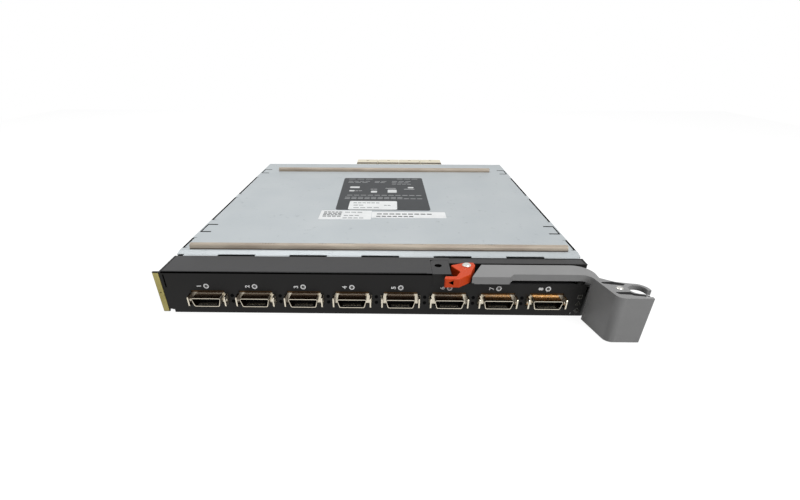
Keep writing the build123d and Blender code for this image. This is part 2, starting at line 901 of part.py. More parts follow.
# Other parts on the board
with BuildPart() as management_processor:
    with Locations((processor_x, at_depth(chip_depth), board_top + processor_height / 2)):
        Box(processor_size, processor_size, processor_height)
save(management_processor, "management_processor")
with BuildPart() as memory_chips:
    memory_depth = chip_depth + processor_size / 2 + memory_gap + memory_length / 2
    with Locations((processor_x, at_depth(memory_depth), board_top + memory_height / 2)):
        with GridLocations(memory_pitch, 0, memory_count, 1):
            Box(memory_width, memory_length, memory_height)
save(memory_chips, "memory_chips")
with BuildPart() as power_modules:
    with Locations((power_row_x, at_depth(power_depth), board_top + power_module_height / 2)):
        with GridLocations(power_module_pitch, 0, power_module_count, 1):
            Box(power_module_width, power_module_length, power_module_height)
save(power_modules, "power_modules")
with BuildPart() as capacitors:
    capacitor_depth = power_depth - (power_module_length + capacitor_length) / 2 - capacitor_gap
    with Locations((power_row_x, at_depth(capacitor_depth), board_top + capacitor_height / 2)):
        with GridLocations(capacitor_pitch, 0, capacitor_count, 1):
            Box(capacitor_width, capacitor_length, capacitor_height)
save(capacitors, "capacitors")
with BuildPart() as inductors:
    with Locations((processor_x, at_depth(power_depth), board_top + inductor_height / 2)):
        with GridLocations(inductor_pitch, 0, inductor_count, 1):
            Box(inductor_size, inductor_size, inductor_height)
    chamfer(inductors.edges().filter_by(Axis.Z), sheet)
save(inductors, "inductors")


# Rear sockets, each a head outside the rear wall on a neck that reaches inside
for number in range(socket_count):
    left = socket_row_left + number * socket_pitch + socket_gap / 2
    right = left + socket_pitch - socket_gap
    with BuildPart() as rear_socket:
        block(left, right, socket_head_front, socket_head_rear, board_top, socket_head_top)
        top_edges = rear_socket.edges().filter_by(Axis.X).group_by(Axis.Z)[-1]
        chamfer(top_edges, sheet / 2)
        with BuildSketch(across(socket_head_rear)):
            with Locations(((left + right) / 2, (board_top + socket_head_top) / 2)):
                with GridLocations(socket_slot_pitch, socket_row_pitch, socket_slot_columns, socket_slot_rows):
                    Rectangle(socket_slot_width, socket_slot_height)
        extrude(amount=socket_slot_depth, mode=Mode.SUBTRACT)
    save(rear_socket, f"rear_socket_{number + 1}")
    with BuildPart() as socket_neck:
        with BuildSketch(Plane.YZ.offset(left)):
            with BuildLine():
                Polyline(
                    (at_depth(socket_head_front), board_top),
                    (at_depth(socket_head_front), socket_neck_top),
                    (at_depth(body_depth - sheet), socket_neck_top),
                    (at_depth(socket_neck_front), (board_top + socket_neck_top) / 2),
                    (at_depth(socket_neck_front), board_top),
                    close=True,
                )
            make_face()
        extrude(amount=socket_pitch - socket_gap)
    save(socket_neck, f"socket_neck_{number + 1}")

# Guide sockets that meet the enclosure's guide pins
for name, side in (("guide_socket_left", -1), ("guide_socket_right", 1)):
    with BuildPart() as guide_socket:
        block(
            side * guide_x - guide_block / 2, side * guide_x + guide_block / 2,
            guide_front, body_depth - sheet, sheet, guide_height + guide_block / 2,
        )
        with BuildSketch(across(body_depth + guide_nose_reach)):
            with Locations((side * guide_x, guide_height)):
                Rectangle(guide_nose, guide_nose)
        extrude(amount=guide_nose_reach + 2 * sheet)
        with BuildSketch(across(body_depth + 2 * guide_nose_reach)):
            with Locations((side * guide_x, guide_height)):
                Circle(guide_bore)
        extrude(amount=2 * body_depth, mode=Mode.SUBTRACT)
        mouth = guide_socket.edges().filter_by(GeomType.CIRCLE).group_by(Axis.Y)[-1].sort_by(SortBy.RADIUS)[0]
        chamfer(mouth, guide_lead)
    save(guide_socket, name)


# Ejector lever
def wall_at(depth):
    """X of the outside of the lever block's left wall, which leans outwards towards the front."""
    lean = (block_left_front - block_left) / (block_start - block_front)
    return block_left + lean * (block_start - depth)


with BuildPart() as ejector_lever:
    # Arm with its finger pad, and the elbow round the pivot
    with BuildSketch(Plane.XY.offset(arm_bottom)) as arm_plan:
        with BuildLine():
            Polyline(
                *plan(
                    (arm_end, pad_front),
                    (pad_end, pad_front),
                    (pad_end + pad_slope, arm_front),
                    (wall_at(arm_front), arm_front),
                    (wall_at(crook_end_depth), crook_end_depth),
                    (wall_at(crook_end_depth) + 2 * block_wall, crook_end_depth),
                    (elbow_side, rail_depth),
                    (elbow_side, pivot_depth + elbow_reach),
                    (arm_end + arm_slant, pivot_depth + elbow_reach),
                ),
                close=True,
            )
        make_face()
        for x, depth, radius in (
            (elbow_side, pivot_depth + elbow_reach, elbow_radius),
            (wall_at(arm_front), arm_front, crook_radius),
        ):
            corner = arm_plan.vertices().sort_by_distance((x, at_depth(depth), arm_bottom))[0]
            fillet(corner, radius)
    extrude(amount=arm_height)
    # The arm is a shallow channel, ribbed underneath
    with BuildSketch(Plane.XY.offset(arm_bottom)) as arm_core:
        with BuildLine():
            Polyline(
                *plan(
                    (arm_end + arm_slant / 2 + arm_wall, arm_front + arm_wall),
                    (pivot_x - elbow_reach, arm_front + arm_wall),
                    (pivot_x - elbow_reach, pivot_depth + elbow_reach - arm_wall),
                    (arm_end + arm_slant + arm_wall, pivot_depth + elbow_reach - arm_wall),
                ),
                close=True,
            )
        make_face()
    extrude(amount=arm_height - arm_skin, mode=Mode.SUBTRACT)
    arm_middle = (arm_end + arm_slant + pivot_x - elbow_reach) / 2
    for index in range(rib_count):
        rib_x = arm_middle + (index - (rib_count - 1) / 2) * rib_pitch
        block(
            rib_x - arm_wall / 2, rib_x + arm_wall / 2, arm_front, pivot_depth + elbow_reach,
            arm_bottom, lever_top - arm_skin,
        )
    # The pad's front edge hangs a little lower
    block(
        arm_end + arm_wall, pad_end, pad_front, pad_front + arm_wall,
        lever_top - pad_height, lever_top,
    )
    # Two jaws, whose claw hooks behind a pin of the enclosure
    for jaw_bottom in (jaw_top_level, block_foot_gap):
        with BuildSketch(Plane.XY.offset(jaw_bottom)) as jaw_plan:
            with BuildLine():
                Polyline(
                    *plan(
                        (block_left, block_start),
                        (block_left_front, block_front),
                        (block_right, block_front),
                        (block_right, block_front + block_wall),
                        (claw_x, block_front + block_wall),
                        (claw_x, claw_depth + claw_radius),
                        (rail_bend_x, rail_bend_depth),
                        (elbow_side, rail_depth),
                    ),
                    close=True,
                )
            make_face()
            with Locations((claw_x, at_depth(claw_depth))):
                Circle(claw_radius)
                Circle(claw_bore, mode=Mode.SUBTRACT)
            # Mouth of the claw, open towards the front and the end
            with BuildLine():
                Polyline(
                    *plan(
                        (claw_x, claw_depth),
                        (
                            claw_x + 3 * claw_radius * cos(radians(claw_mouth_angle)),
                            claw_depth + 3 * claw_radius * sin(radians(claw_mouth_angle)),
                        ),
                        (claw_x + 3 * claw_radius, block_front + block_wall),
                        (claw_x + claw_radius / 4, block_front + block_wall),
                    ),
                    close=True,
                )
            make_face(mode=Mode.SUBTRACT)
        extrude(amount=jaw_thickness)
    # Left and front walls that tie the jaws together
    with BuildSketch(Plane.XY.offset(block_foot_gap)) as block_walls:
        with BuildLine():
            Polyline(
                *plan(
                    (block_left, block_start),
                    (block_left_front, block_front),
                    (block_right, block_front),
                    (block_right, block_front + block_wall),
                    (block_left_front + block_wall, block_front + block_wall),
                    (block_left + block_wall, block_start),
                ),
                close=True,
            )
        make_face()
    extrude(amount=lever_top - block_foot_gap)
    front_corner = (
        ejector_lever.edges()
        .filter_by(Axis.Z)
        .filter_by_position(Axis.Y, at_depth(block_front) - lap_gap, at_depth(block_front) + lap_gap)
        .sort_by(Axis.X)[0]
    )
    fillet(front_corner, block_corner)
    # Post for the screw through both jaws
    rod(lever_screw_x, lever_screw_depth, lever_screw_post, block_foot_gap, lever_top)
    rod(lever_screw_x, lever_screw_depth, lever_screw_shank, 0, body_height, Mode.SUBTRACT)
    # Relief grooves in the upper jaw
    with BuildSketch(Plane.XY.offset(lever_top)):
        for start, end in (rear_groove, front_groove):
            with Locations(((start[0] + end[0]) / 2, at_depth((start[1] + end[1]) / 2))):
                SlotCenterToCenter(
                    dist(start, end), groove_width,
                    rotation=degrees(atan2(end[1] - start[1], end[0] - start[0])),
                )
    extrude(amount=-groove_depth, mode=Mode.SUBTRACT)
    # Blind bore that the pivot pin is pressed into
    rod(pivot_x, pivot_depth, pin_radius, 0, lever_top - pin_cap, Mode.SUBTRACT)
save(ejector_lever, "ejector_lever")

# Pivot pin, pressed into the lever and headed below the bracket
with BuildPart() as pivot_pin:
    rod(pivot_x, pivot_depth, pin_radius, bracket_bottom - lap_gap, lever_top - pin_cap)
    rod(
        pivot_x, pivot_depth, pin_head_radius,
        bracket_bottom - lap_gap - pin_head_height, bracket_bottom - lap_gap,
    )
save(pivot_pin, "pivot_pin")

# Screw through the lever's jaws
with BuildPart() as lever_screw:
    rod(lever_screw_x, lever_screw_depth, lever_screw_shank, block_foot_gap, lever_top)
    rod(lever_screw_x, lever_screw_depth, lever_screw_radius, lever_top, lever_top + lever_screw_head)
    chamfer(lever_screw.edges().group_by(Axis.Z)[-1], lever_screw_head * 0.6)
save(lever_screw, "lever_screw")


# Latch
with BuildPart() as latch:
    with BuildSketch(Plane.XY.offset(latch_bottom)) as latch_plan:
        with BuildLine():
            Polyline(*plan(*latch_outline), close=True)
        make_face()
        fillet(latch_plan.vertices(), latch_corner)
    extrude(amount=latch_height)
    chamfer(latch.edges().group_by(Axis.Z)[-1], latch_corner / 3)
    # Arrow on the face that is pressed
    latch_face = min(depth for _, depth in latch_outline)
    arrow_height = latch_bottom + latch_height / 2
    with BuildSketch(across(latch_face + arrow_recess)):
        with BuildLine():
            Polyline(
                (arrow_x - arrow_size / 2, arrow_height),
                (arrow_x + arrow_size / 2, arrow_height + arrow_size / 2),
                (arrow_x + arrow_size / 2, arrow_height - arrow_size / 2),
                close=True,
            )
        make_face()
    extrude(amount=2 * arrow_recess, mode=Mode.SUBTRACT)
    rod(latch_x, latch_depth, rivet_radius + running_gap, 0, 2 * body_height, Mode.SUBTRACT)
    # Pocket underneath for the return spring
    rod(
        latch_x, latch_depth, spring_radius + spring_wire + spring_room,
        0, recess_floor + spring_height + 2 * spring_wire + lap_gap, Mode.SUBTRACT,
    )
save(latch, "latch")

# Rivet that the latch turns on
with BuildPart() as latch_rivet:
    rod(latch_x, latch_depth, rivet_radius, bracket_bottom - rivet_head_height, latch_top + lap_gap)
    rod(
        latch_x, latch_depth, rivet_head_radius,
        bracket_bottom - rivet_head_height, bracket_bottom,
    )
    rod(
        latch_x, latch_depth, rivet_head_radius,
        latch_top + lap_gap, latch_top + lap_gap + rivet_head_height,
    )
    chamfer(latch_rivet.edges().group_by(Axis.Z)[-1], rivet_head_height * 0.6)
save(latch_rivet, "latch_rivet")

# Return spring round the rivet
with BuildPart() as latch_spring:
    with BuildLine() as coil:
        Helix(
            pitch=spring_pitch, height=spring_height, radius=spring_radius,
            center=(latch_x, at_depth(latch_depth), recess_floor + spring_wire),
        )
    with BuildSketch(Plane(origin=coil.line @ 0, x_dir=(1, 0, 0), z_dir=coil.line % 0)):
        Rectangle(2 * spring_wire, 2 * spring_wire)
    sweep(is_frenet=True)
save(latch_spring, "latch_spring")
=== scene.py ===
"""Looks of the blade switch module: metals, paints, gaskets, labels, print, light and camera."""
from math import cos, radians, sin, tau

import bmesh
import bpy
from mathutils import Matrix, Vector


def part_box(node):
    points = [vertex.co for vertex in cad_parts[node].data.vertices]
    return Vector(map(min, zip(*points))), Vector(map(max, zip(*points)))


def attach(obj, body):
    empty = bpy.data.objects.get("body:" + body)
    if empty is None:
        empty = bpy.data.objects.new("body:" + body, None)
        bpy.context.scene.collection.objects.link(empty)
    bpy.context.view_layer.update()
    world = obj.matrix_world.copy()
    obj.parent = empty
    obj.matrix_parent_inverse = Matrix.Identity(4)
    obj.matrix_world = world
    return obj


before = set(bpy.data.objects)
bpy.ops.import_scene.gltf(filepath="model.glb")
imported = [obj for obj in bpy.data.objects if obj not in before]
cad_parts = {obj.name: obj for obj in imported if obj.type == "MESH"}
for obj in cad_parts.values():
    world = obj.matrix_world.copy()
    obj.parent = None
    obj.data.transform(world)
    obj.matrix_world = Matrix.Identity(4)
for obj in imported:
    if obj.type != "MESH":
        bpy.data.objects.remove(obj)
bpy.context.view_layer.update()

MM = 0.001
PHOTO_WIDTH = 800
PHOTO_HEIGHT = 500


def box_mm(node):
    """Lowest and highest corner of a CAD node, in millimetres."""
    low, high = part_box(node)
    return Vector(low) / MM, Vector(high) / MM


def middle_x(node):
    """Middle of a CAD node from left to right, in millimetres."""
    return sum(corner.x for corner in box_mm(node)) / 2


# Places read from the part, in millimetres; depths run from the faceplate's front towards the rear
PORT_NUMBERS = range(1, 9)
PORTS = {number: middle_x(f"port_shell_{number}") for number in PORT_NUMBERS}
PORT_PITCH = PORTS[2] - PORTS[1]
FACE_Y = box_mm("light_pipes")[0].y
RIM_Y = box_mm("port_shell_1")[0].y
LIGHT_RADIUS = 1.0
LIGHT_Z = box_mm("light_pipes")[1].z - LIGHT_RADIUS
COVER_TOP = box_mm("top_cover")[1].z
WALL_TOP = box_mm("base_tray")[1].z
HALF_WIDTH = box_mm("base_tray")[1].x
NOSE_TOP = box_mm("front_housing")[1].z
GASKET_FRONT, GASKET_CROWN = box_mm("front_gasket")
GASKET_REAR = box_mm("rear_gasket")[0]
SOCKETS = {number: box_mm(f"rear_socket_{number}") for number in range(1, 5)}
LATCH_LOW, LATCH_HIGH = box_mm("latch")
LEVER_TOP = box_mm("ejector_lever")[1].z
STATUS_X = middle_x("status_light_guide")
STATUS_LENS = 1.2

# Brown tint of the port shells: it turns golden between two places from left to right, is full this far
# behind the faceplate's front, and wavers this much; painted shade darkens side faces inwards; the top's root
# is a dark line
GOLDEN_X = (45, 105)
TINT_END = 1.5
TINT_WAVER = 1.2
INWARD = (1.0, 4.0)
ROOT_Z = (14.2, 14.6)

# Share of a print's colour that is left where it is handled
WORN_SHARE = 0.9


def linear(code):
    """An sRGB hex colour as linear RGBA."""
    parts = [int(code[i:i + 2], 16) / 255 for i in (1, 3, 5)]
    return tuple(p / 12.92 if p <= 0.04045 else ((p + 0.055) / 1.055) ** 2.4 for p in parts) + (1.0,)


def per_mm(grain):
    """Scale of a pattern whose grains are so many millimetres across."""
    return 1 / (grain * MM)


def add(tree, kind, links=(), **settings):
    """Adds a node; settings are its properties or inputs, and links give inputs an output or a value."""
    node = tree.nodes.new("ShaderNode" + kind)
    for name, value in settings.items():
        if hasattr(node, name):
            setattr(node, name, value)
        else:
            node.inputs[name.replace("_", " ")].default_value = value
    for socket, source in dict(links).items():
        if isinstance(source, bpy.types.NodeSocket):
            tree.links.new(source, node.inputs[socket])
        else:
            node.inputs[socket].default_value = source
    return node


def surface(name, colour, rough, metal=0.0, **settings):
    """A new material; returns it with its tree, its main shader and the place on the object in metres."""
    material = bpy.data.materials.new(name)
    material.use_nodes = True
    tree = material.node_tree
    shader = tree.nodes["Principled BSDF"]
    shader.inputs["Base Color"].default_value = linear(colour)
    shader.inputs["Roughness"].default_value = rough
    shader.inputs["Metallic"].default_value = metal
    for socket, value in settings.items():
        shader.inputs[socket.replace("_", " ")].default_value = value
    material.diffuse_color = linear(colour)
    return material, tree, shader, add(tree, "TexCoord").outputs["Object"]


def join(tree, shader, **outputs):
    """Links outputs to the main shader's inputs of these names."""
    for socket, output in outputs.items():
        tree.links.new(output, shader.inputs[socket.replace("_", " ")])


def zinc_plated_steel():
    """Dull zinc plate on sheet: an even, cool pale grey, faintly cloudy, with rolling lines and marks."""
    material, tree, shader, spot = surface("zinc_plated_steel", "#c0c7ca", 0.46, metal=0.35)
    clouds = add(tree, "TexNoise", {"Vector": spot}, Scale=per_mm(34), Detail=3.0)
    tint = add(tree, "Mix", {"Factor": clouds.outputs["Fac"]}, data_type="RGBA",
               A=linear("#b8c0c4"), B=linear("#c8cdcf"))
    spots = add(tree, "TexNoise", {"Vector": spot}, Scale=per_mm(7), Detail=5.0, Roughness=0.7)
    mark = add(tree, "MapRange", {"Value": spots.outputs["Fac"]}, From_Min=0.62, From_Max=0.72, To_Max=0.7)
    marked = add(tree, "Mix", {"Factor": mark.outputs["Result"], "A": tint.outputs["Result"]},
                 data_type="RGBA", B=linear("#9fa7ab"))
    lines = add(tree, "Mapping", {"Vector": spot}, Scale=(1.0, 0.03, 1.0))
    rolling = add(tree, "TexNoise", {"Vector": lines.outputs["Vector"]}, Scale=per_mm(0.8), Detail=2.0)
    relief = add(tree, "Bump", {"Height": rolling.outputs["Fac"]}, Distance=0.01 * MM, Strength=0.3)
    sheen = add(tree, "MapRange", {"Value": clouds.outputs["Fac"]}, To_Min=0.4, To_Max=0.52)
    join(tree, shader, Base_Color=marked.outputs["Result"], Roughness=sheen.outputs["Result"],
         Normal=relief.outputs["Normal"])
    return material


def black_powder_coat():
    """Fine black powder coat: near black in front, lightened on upper faces by painted sheen, darkened by
    painted shade on its bent edges.
    """
    material, tree, shader, spot = surface("black_powder_coat", "#121110", 0.42, Specular_IOR_Level=0.25)
    facing = add(tree, "SeparateXYZ", {"Vector": add(tree, "NewGeometry").outputs["Normal"]})
    # Painted sheen: faces that look up are a lighter grey than the near black front
    upper = add(tree, "MapRange", {"Value": facing.outputs["Z"]}, From_Min=0.9, From_Max=0.99)
    painted_sheen_top = add(tree, "Mix", {"Factor": upper.outputs["Result"]}, data_type="RGBA",
                A=linear("#100f0e"), B=linear("#3a3a3b"))
    # Painted shade: the sloped faces of bent edges are darker and lose their shine
    bent = add(tree, "MapRange", {"Value": facing.outputs["Z"]}, From_Min=0.05, From_Max=0.2)
    band = add(tree, "Math", {0: bent.outputs["Result"], 1: upper.outputs["Result"]}, operation="SUBTRACT",
               use_clamp=True)
    shine = add(tree, "MapRange", {"Value": band.outputs["Value"]}, To_Min=0.25, To_Max=0.0)
    smears = add(tree, "TexNoise", {"Vector": spot}, Scale=per_mm(22), Detail=5.0, Roughness=0.6)
    shade = add(tree, "MapRange", {"Value": band.outputs["Value"]}, To_Min=1.0, To_Max=0.15)
    cloud = add(tree, "MapRange", {"Value": smears.outputs["Fac"]}, To_Min=0.85, To_Max=1.18)
    tone = add(tree, "Math", {0: cloud.outputs["Result"], 1: shade.outputs["Result"]}, operation="MULTIPLY")
    toned = add(tree, "VectorMath", {0: painted_sheen_top.outputs["Result"], 1: tone.outputs["Value"]},
                operation="MULTIPLY")
    grain = add(tree, "TexNoise", {"Vector": spot}, Scale=per_mm(0.5), Detail=2.0)
    relief = add(tree, "Bump", {"Height": grain.outputs["Fac"]}, Distance=0.03 * MM, Strength=0.5)
    sheen = add(tree, "MapRange", {"Value": smears.outputs["Fac"]}, To_Min=0.34, To_Max=0.48)
    join(tree, shader, Base_Color=toned.outputs["Vector"], Roughness=sheen.outputs["Result"],
         Specular_IOR_Level=shine.outputs["Result"], Normal=relief.outputs["Normal"])
    return material


def conductive_cloth(name, light, dark, shine):
    """Metal-plated woven nylon over foam: a close weave with a soft metal sheen, scuffed in streaks.

    The threads are drawn coarser than the real ones, so that the weave shows.
    """
    material, tree, shader, spot = surface(name, light, 0.5, metal=shine)
    warp = add(tree, "TexWave", {"Vector": spot}, bands_direction="X", Scale=per_mm(3.0), Distortion=0.3)
    weft = add(tree, "TexWave", {"Vector": spot}, bands_direction="Y", Scale=per_mm(3.0), Distortion=0.3)
    threads = add(tree, "Math", {0: warp.outputs["Fac"], 1: weft.outputs["Fac"]}, operation="MULTIPLY")
    along = add(tree, "Mapping", {"Vector": spot}, Scale=(0.3, 1.0, 1.0))
    scuffs = add(tree, "TexNoise", {"Vector": along.outputs["Vector"]}, Scale=per_mm(9), Detail=5.0)
    worn = add(tree, "MapRange", {"Value": scuffs.outputs["Fac"]}, From_Min=0.35, From_Max=0.6)
    colour = add(tree, "Mix", {"Factor": worn.outputs["Result"]}, data_type="RGBA",
                 A=linear(dark), B=linear(light))
    relief = add(tree, "Bump", {"Height": threads.outputs["Value"]}, Distance=0.05 * MM, Strength=0.5)
    join(tree, shader, Base_Color=colour.outputs["Result"], Normal=relief.outputs["Normal"])
    return material


def nickel_plated_shell():
    """Drawn shell under nickel: cream-bright rim and ears, a brown top, and painted shade on inner faces."""
    material, tree, shader, spot = surface("nickel_plated_shell", "#ded6c4", 0.26, metal=0.9)
    where = add(tree, "SeparateXYZ", {"Vector": spot})
    facing = add(tree, "SeparateXYZ", {"Vector": add(tree, "NewGeometry").outputs["Normal"]})
    lines = add(tree, "Mapping", {"Vector": spot}, Scale=(1.0, 0.25, 1.0))
    streaks = add(tree, "TexNoise", {"Vector": lines.outputs["Vector"]}, Scale=per_mm(1.6), Detail=4.0)
    # Tint of the top, deeper towards the faceplate, and golden towards the ports on the right
    waver = add(tree, "MapRange", {"Value": streaks.outputs["Fac"]},
                To_Min=-TINT_WAVER * MM, To_Max=TINT_WAVER * MM)
    reach = add(tree, "Math", {0: where.outputs["Y"], 1: waver.outputs["Result"]}, operation="ADD")
    depth = add(tree, "MapRange", {"Value": reach.outputs["Value"]},
                From_Min=RIM_Y * MM, From_Max=(FACE_Y + TINT_END) * MM)
    tint = add(tree, "Mix", {"Factor": depth.outputs["Result"]}, data_type="RGBA",
               A=linear("#1a100b"), B=linear("#4a3320"))
    rightwards = add(tree, "MapRange", {"Value": where.outputs["X"]},
                     From_Min=GOLDEN_X[0] * MM, From_Max=GOLDEN_X[1] * MM)
    gold_share = add(tree, "Math", {0: rightwards.outputs["Result"], 1: depth.outputs["Result"]},
                 operation="MULTIPLY")
    golden = add(tree, "Mix", {"Factor": gold_share.outputs["Value"], "A": tint.outputs["Result"]},
                 data_type="RGBA", B=linear("#b98846"))
    upper = add(tree, "MapRange", {"Value": facing.outputs["Z"]}, From_Min=0.6, From_Max=0.9)
    topped = add(tree, "Mix", {"Factor": upper.outputs["Result"], "B": golden.outputs["Result"]},
                 data_type="RGBA", A=linear("#ded6c4"))
    # Painted shade on the faces that look towards their own port's middle, which the shell hides from the
    # light
    within = add(tree, "Math", {0: where.outputs["X"], 1: PORT_PITCH * MM, 2: 0.0}, operation="WRAP")
    aside = add(tree, "Math", {0: within.outputs["Value"], 1: PORT_PITCH / 2 * MM}, operation="SUBTRACT")
    outward = add(tree, "Math", {0: aside.outputs["Value"], 1: facing.outputs["X"]}, operation="MULTIPLY")
    inner = add(tree, "MapRange", {"Value": outward.outputs["Value"]},
                From_Min=-INWARD[0] * MM, From_Max=-INWARD[1] * MM)
    shaded = add(tree, "Mix", {"Factor": inner.outputs["Result"], "A": topped.outputs["Result"]},
                 data_type="RGBA", B=linear("#35281f"))
    root = add(tree, "MapRange", {"Value": where.outputs["Z"]},
               From_Min=ROOT_Z[0] * MM, From_Max=ROOT_Z[1] * MM)
    rooted = add(tree, "Mix", {"Factor": root.outputs["Result"], "A": shaded.outputs["Result"]},
                 data_type="RGBA", B=linear("#4c3823"))
    sheen = add(tree, "MapRange", {"Value": streaks.outputs["Fac"]}, To_Min=0.18, To_Max=0.38)
    join(tree, shader, Base_Color=rooted.outputs["Result"], Roughness=sheen.outputs["Result"])
    return material


def worked_metal(name, colour, rough, grain_mm=1.5, stretch=(1, 1, 1)):
    """Turned, drawn or cast metal: its own colour with fine working marks in sheen and relief."""
    material, tree, shader, spot = surface(name, colour, rough, metal=1.0)
    drawn = add(tree, "Mapping", {"Vector": spot}, Scale=stretch)
    marks = add(tree, "TexNoise", {"Vector": drawn.outputs["Vector"]}, Scale=per_mm(grain_mm), Detail=3.0)
    sheen = add(tree, "MapRange", {"Value": marks.outputs["Fac"]}, To_Min=rough - 0.08, To_Max=rough + 0.1)
    relief = add(tree, "Bump", {"Height": marks.outputs["Fac"]}, Distance=0.01 * MM, Strength=0.3)
    join(tree, shader, Roughness=sheen.outputs["Result"], Normal=relief.outputs["Normal"])
    return material


def moulded(name, colour, rough, grain_mm=0.35, **settings):
    """Moulded or pressed piece: an even colour with a fine grain and soft flow marks."""
    material, tree, shader, spot = surface(name, colour, rough, **settings)
    flow = add(tree, "TexNoise", {"Vector": spot}, Scale=per_mm(12), Detail=3.0)
    tone = add(tree, "MapRange", {"Value": flow.outputs["Fac"]}, To_Min=0.88, To_Max=1.1)
    toned = add(tree, "VectorMath", {0: linear(colour)[:3], 1: tone.outputs["Result"]}, operation="MULTIPLY")
    grain = add(tree, "TexNoise", {"Vector": spot}, Scale=per_mm(grain_mm), Detail=2.0)
    relief = add(tree, "Bump", {"Height": grain.outputs["Fac"]}, Distance=0.015 * MM, Strength=0.5)
    sheen = add(tree, "MapRange", {"Value": flow.outputs["Fac"]}, To_Min=rough - 0.05, To_Max=rough + 0.07)
    join(tree, shader, Base_Color=toned.outputs["Vector"], Roughness=sheen.outputs["Result"],
         Normal=relief.outputs["Normal"])
    return material


def painted_casting():
    """Zinc casting under satin grey paint: soft orange peel and a cloudy sheen from handling."""
    material, tree, shader, spot = surface("grey_painted_casting", "#929293", 0.45, Specular_IOR_Level=0.25)
    clouds = add(tree, "TexNoise", {"Vector": spot}, Scale=per_mm(14), Detail=4.0)
    base = add(tree, "Mix", {"Factor": clouds.outputs["Fac"]}, data_type="RGBA",
               A=linear("#8c8c8c"), B=linear("#9b9b9b"))
    peel = add(tree, "TexNoise", {"Vector": spot}, Scale=per_mm(0.8), Detail=2.0)
    relief = add(tree, "Bump", {"Height": peel.outputs["Fac"]}, Distance=0.02 * MM, Strength=0.4)
    sheen = add(tree, "MapRange", {"Value": clouds.outputs["Fac"]}, To_Min=0.34, To_Max=0.5)
    join(tree, shader, Base_Color=base.outputs["Result"], Roughness=sheen.outputs["Result"],
         Normal=relief.outputs["Normal"])
    return material


def board_laminate():
    """Glass laminate under green solder mask, with faint copper tracks below it."""
    material, tree, shader, spot = surface("green_board_laminate", "#0f4a2a", 0.32)
    tracks = add(tree, "TexBrick", {"Vector": spot}, Scale=per_mm(8), Mortar_Size=0.04,
                 Color1=linear("#0f4a2a"), Color2=linear("#125330"), Mortar=linear("#1c6a3c"))
    join(tree, shader, Base_Color=tracks.outputs["Color"])
    return material


def dark_lens():
    """Smoked polycarbonate light pipe: dark while its light is off, with a small bright reflection."""
    material, tree, shader, spot = surface("smoked_polycarbonate", "#3b3a35", 0.15, IOR=1.58)
    haze = add(tree, "TexNoise", {"Vector": spot}, Scale=per_mm(3), Detail=2.0)
    sheen = add(tree, "MapRange", {"Value": haze.outputs["Fac"]}, To_Min=0.08, To_Max=0.22)
    join(tree, shader, Roughness=sheen.outputs["Result"])
    return material


def printed_film(name, colour, rough, **settings):
    """Printed film, paper or ink: flat, with a slight sheen and faint handling marks, a tenth darker."""
    material, tree, shader, spot = surface(name, colour, rough, **settings)
    marks = add(tree, "TexNoise", {"Vector": spot}, Scale=per_mm(7), Detail=5.0)
    wear = add(tree, "MapRange", {"Value": marks.outputs["Fac"]}, From_Min=0.35, From_Max=0.75)
    worn = tuple(part * WORN_SHARE for part in linear(colour)[:3]) + (1.0,)
    toned = add(tree, "Mix", {"Factor": wear.outputs["Result"]}, data_type="RGBA", A=linear(colour), B=worn)
    join(tree, shader, Base_Color=toned.outputs["Result"])
    return material


steel = zinc_plated_steel()
black_paint = black_powder_coat()
# Plated cloth of the gaskets: tan on the cover, gold on the end flange, both with a dull gleam
tan_cloth = conductive_cloth("tan_conductive_cloth", "#bdb1a1", "#a99b8c", 0.15)
gold_cloth = conductive_cloth("gold_conductive_cloth", "#c6ba74", "#b3a763", 0.2)
nickel = nickel_plated_shell()
# Moulded glass-filled nylon: dull black, so the ports look deep
insert_plastic = moulded("black_glass_filled_nylon", "#0d0d0e", 0.5)
# Moulded liquid crystal polymer: even warm cream
cream_plastic = moulded("cream_liquid_crystal_polymer", "#f3ebd2", 0.45)
grey_paint = painted_casting()
# Moulded acetal: full orange with a soft, waxy gleam
latch_plastic = moulded("orange_acetal", "#da4711", 0.4, Specular_IOR_Level=0.3)
# Turned and plated steel: bright and nearly white
rivet_steel = worked_metal("plated_rivet_steel", "#e4e2dc", 0.3, 0.6)
# Gold flash on stamped brass: pale bright points in the dark of the ports
gilt = worked_metal("gold_flash_on_brass", "#d9cfb8", 0.3)
# Black oxide on small screws: takes up the light, so that they show as dark dots
black_oxide = moulded("black_oxide_screw", "#010102", 0.6, 0.6, Specular_IOR_Level=0.05)
# Zinc plate on cold-formed screws: pale grey with a soft gleam
zinc_screw = worked_metal("zinc_plated_screw", "#c4c6c6", 0.32, 0.6)
board_green = board_laminate()
# Turned brass: bright yellow with fine turning marks
brass = worked_metal("turned_brass", "#c8a761", 0.3, 0.4)
# Cut polyester film: black and satin
film = moulded("black_insulator_film", "#161616", 0.45)
# Moulded chip epoxy: flat and nearly black
package = moulded("moulded_chip_epoxy", "#17171a", 0.55)
# Cast silicone pad: flat grey, like soft rubber
pad_rubber = moulded("thermal_pad_silicone", "#75797d", 0.8)
# Extruded aluminium: pale, with lines along its fins
sink_metal = worked_metal("extruded_aluminium", "#b6b9bb", 0.38, 1.0, (1.0, 0.05, 1.0))
# Moulded cases of tantalum capacitors: even ochre yellow
tantalum = moulded("yellow_tantalum_case", "#c9952f", 0.5)
# Pressed ferrite: flat, grainy dark grey
ferrite = moulded("pressed_ferrite", "#3a3a3c", 0.7)
# Die-cast zinc: dull grey with a cloudy skin
die_cast = worked_metal("die_cast_zinc", "#a2a4a6", 0.42, 1.2)
lens = dark_lens()
# Drawn spring wire: mid grey with a bright line along each turn
spring_wire = worked_metal("spring_wire", "#9a9a9a", 0.3, 0.3)
